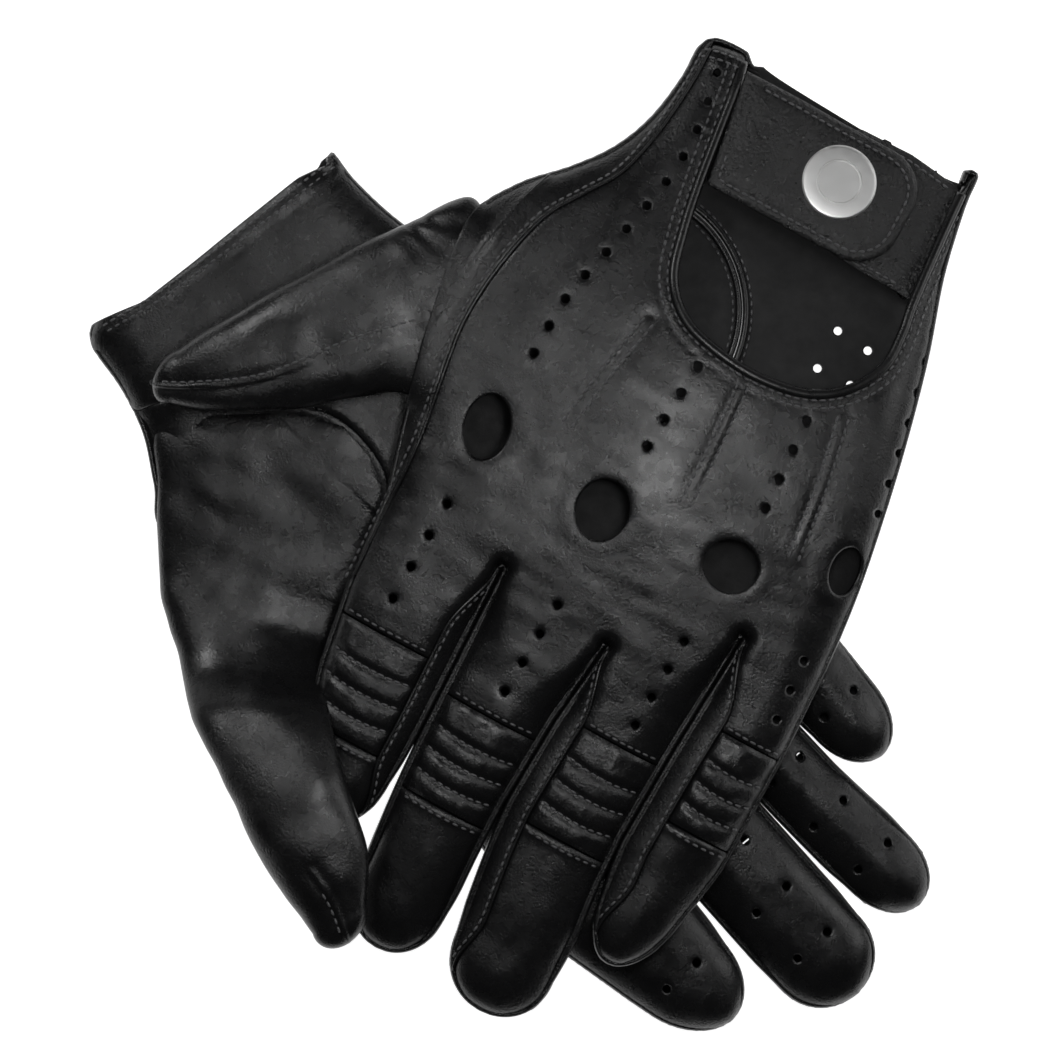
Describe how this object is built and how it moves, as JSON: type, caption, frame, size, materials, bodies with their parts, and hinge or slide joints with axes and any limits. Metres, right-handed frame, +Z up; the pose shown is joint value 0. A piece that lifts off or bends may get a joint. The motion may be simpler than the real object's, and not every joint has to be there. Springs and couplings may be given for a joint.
{
  "type": "driving gloves",
  "caption": "Pair of black leather driving gloves lying flat, with keyhole backs, knuckle holes, quilted finger pads and snap straps",
  "frame": {"origin": "on the surface under the middle of the pair", "axes": "+Z up, +Y toward the left glove's cuff, as seen from above"},
  "size_m": [0.2243, 0.2521, 0.0388],
  "materials": {
    "leather": "semi-gloss fine grain nappa",
    "strap_leather": "semi-gloss pebble grain",
    "binding_leather": "semi-gloss",
    "fourchette_leather": "satin",
    "cap_steel": "brushed",
    "snap_steel": "satin"
  },
  "bodies": {
    "right_glove": {"right_back_panel": "leather", "right_palm_panel": "leather", "right_thumb_gusset": "leather", "right_thumb_seam_binding": "binding_leather", "right_keyhole_binding": "binding_leather", "right_cuff_facing": "fourchette_leather", "right_little_ring_fourchette": "fourchette_leather", "right_ring_middle_fourchette": "fourchette_leather", "right_middle_index_fourchette": "fourchette_leather", "right_index_quilted_pad": "leather", "right_middle_quilted_pad": "leather", "right_ring_quilted_pad": "leather", "right_little_quilted_pad": "leather", "right_index_fingertip": "leather", "right_middle_fingertip": "leather", "right_ring_fingertip": "leather", "right_little_fingertip": "leather", "right_strap_tab": "strap_leather", "right_snap_stud": "snap_steel", "right_snap_post": "snap_steel"},
    "right_thumb": {"right_thumb": "leather"},
    "right_strap": {"right_strap": "strap_leather", "right_strap_lining": "strap_leather", "right_snap_cap": "cap_steel", "right_snap_socket": "snap_steel"},
    "left_glove": {"left_back_panel": "leather", "left_palm_panel": "leather", "left_thumb_gusset": "leather", "left_thumb_seam_binding": "binding_leather", "left_keyhole_binding": "binding_leather", "left_cuff_facing": "fourchette_leather", "left_little_ring_fourchette": "fourchette_leather", "left_ring_middle_fourchette": "fourchette_leather", "left_middle_index_fourchette": "fourchette_leather", "left_index_quilted_pad": "leather", "left_middle_quilted_pad": "leather", "left_ring_quilted_pad": "leather", "left_little_quilted_pad": "leather", "left_index_fingertip": "leather", "left_middle_fingertip": "leather", "left_ring_fingertip": "leather", "left_little_fingertip": "leather", "left_strap_tab": "strap_leather", "left_snap_stud": "snap_steel", "left_snap_post": "snap_steel"},
    "left_thumb": {"left_thumb": "leather"},
    "left_strap": {"left_strap": "strap_leather", "left_strap_lining": "strap_leather", "left_snap_cap": "cap_steel", "left_snap_socket": "snap_steel"}
  },
  "joints": [
    {"name": "left_glove_slide_off", "type": "slide", "parent": "right_glove", "child": "left_glove", "axis": [0.4772, 0.8788, 0], "range_m": [0, 0.26]},
    {"name": "left_strap_open", "type": "hinge", "parent": "left_glove", "child": "left_strap", "pos_m": [0.04874, 0.10231, 0.01641], "axis": [-0.337, -0.93, 0.1466], "range_deg": [0, 100]},
    {"name": "left_thumb_raise", "type": "hinge", "parent": "left_glove", "child": "left_thumb", "pos_m": [-0.02375, 0.06059, 0.02308], "axis": [0.2953, 0.9546, -0.04], "range_deg": [0, 60]},
    {"name": "right_strap_open", "type": "hinge", "parent": "right_glove", "child": "right_strap", "pos_m": [-0.08847, 0.04177, 0.0018], "axis": [-0.767, 0.6416, 0], "range_deg": [0, 100]},
    {"name": "right_thumb_raise", "type": "hinge", "parent": "right_glove", "child": "right_thumb", "pos_m": [-0.0739, -0.00909, 0.0114], "axis": [-0.9596, 0.2813, 0], "range_deg": [0, 60]}
  ]
}
